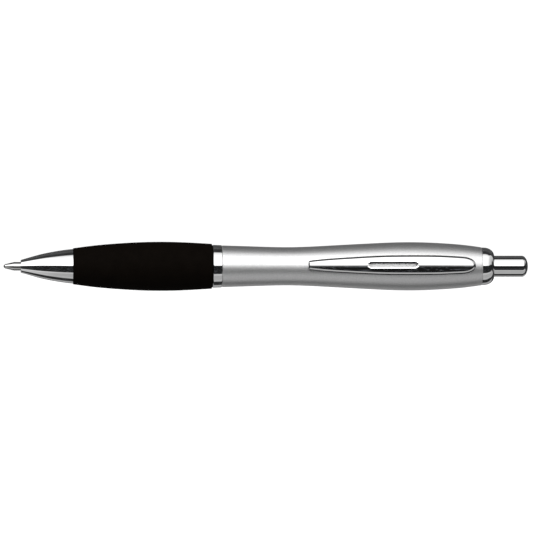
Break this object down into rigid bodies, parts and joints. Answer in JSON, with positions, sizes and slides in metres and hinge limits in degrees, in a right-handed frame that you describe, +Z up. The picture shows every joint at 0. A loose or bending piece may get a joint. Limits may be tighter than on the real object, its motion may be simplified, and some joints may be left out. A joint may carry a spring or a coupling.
{
  "type": "retractable ballpoint pen",
  "caption": "Push-button ballpoint pen with a chromed nose, black rubber grip, waisted satin-silver barrel and a chromed slotted clip.",
  "frame": {"origin": "front of the writing ball, on the pen's axis, with the point out", "axes": "+X along the pen towards the push button; the pen lies on its side, its clip facing -Y and turned 2.5 degrees up; +Z up"},
  "size_m": [0.1415, 0.0149, 0.0132],
  "materials": {
    "chrome": "polished",
    "satin_silver": "satin",
    "black_rubber": "matte",
    "black_plastic": "matte",
    "white_plastic": "matte",
    "tube_plastic": "translucent",
    "bush_brass": "machined",
    "point_metal": "fine turned",
    "hard_metal": "polished",
    "spring_steel": "drawn wire",
    "ink": "wet",
    "grease": "clear"
  },
  "bodies": {
    "barrel": {"nose_cone": "chrome", "grip_core": "black_plastic", "rubber_grip": "black_rubber", "centre_ring": "chrome", "thread_bush": "bush_brass", "upper_barrel": "satin_silver", "end_collar": "chrome", "cam_guide": "white_plastic"},
    "button": {"push_button": "chrome", "button_plunger": "white_plastic"},
    "refill": {"refill_tip": "point_metal", "tip_holder": "white_plastic", "refill_tube": "tube_plastic", "ink_column": "ink", "ink_follower": "grease", "return_spring": "spring_steel"},
    "cam": {"cam_rotor": "white_plastic"},
    "ball": {"tip_ball": "hard_metal"},
    "clip": {"clip": "chrome"}
  },
  "joints": [
    {"name": "button_slide", "type": "slide", "parent": "barrel", "child": "button", "axis": [1, 0, 0], "range_m": [-0.0012, 0.0046]},
    {"name": "refill_slide", "type": "slide", "parent": "barrel", "child": "refill", "axis": [1, 0, 0], "range_m": [-0.0015, 0.0057], "deforming": ["return_spring"]},
    {"name": "cam_turn", "type": "hinge", "parent": "refill", "child": "cam", "pos_m": [0.11, 0, 0], "axis": [1, 0, 0], "range_deg": [-16, 61]},
    {"name": "ball_roll", "type": "hinge", "parent": "refill", "child": "ball", "pos_m": [0.0005, 0, 0], "axis": [0, 1, 0], "continuous": true},
    {"name": "clip_flex", "type": "hinge", "parent": "barrel", "child": "clip", "pos_m": [0.1258, -0.00575, 0.00025], "axis": [0, 0.0436, 0.999], "range_deg": [0, 3], "stiffness_Nm_per_rad": 2.45}
  ],
  "couplings": [
    {"joint": "refill_slide", "follows": "button_slide", "ratio": 1.2174},
    {"joint": "cam_turn", "follows": "button_slide", "rad_per_m": 227.65}
  ]
}
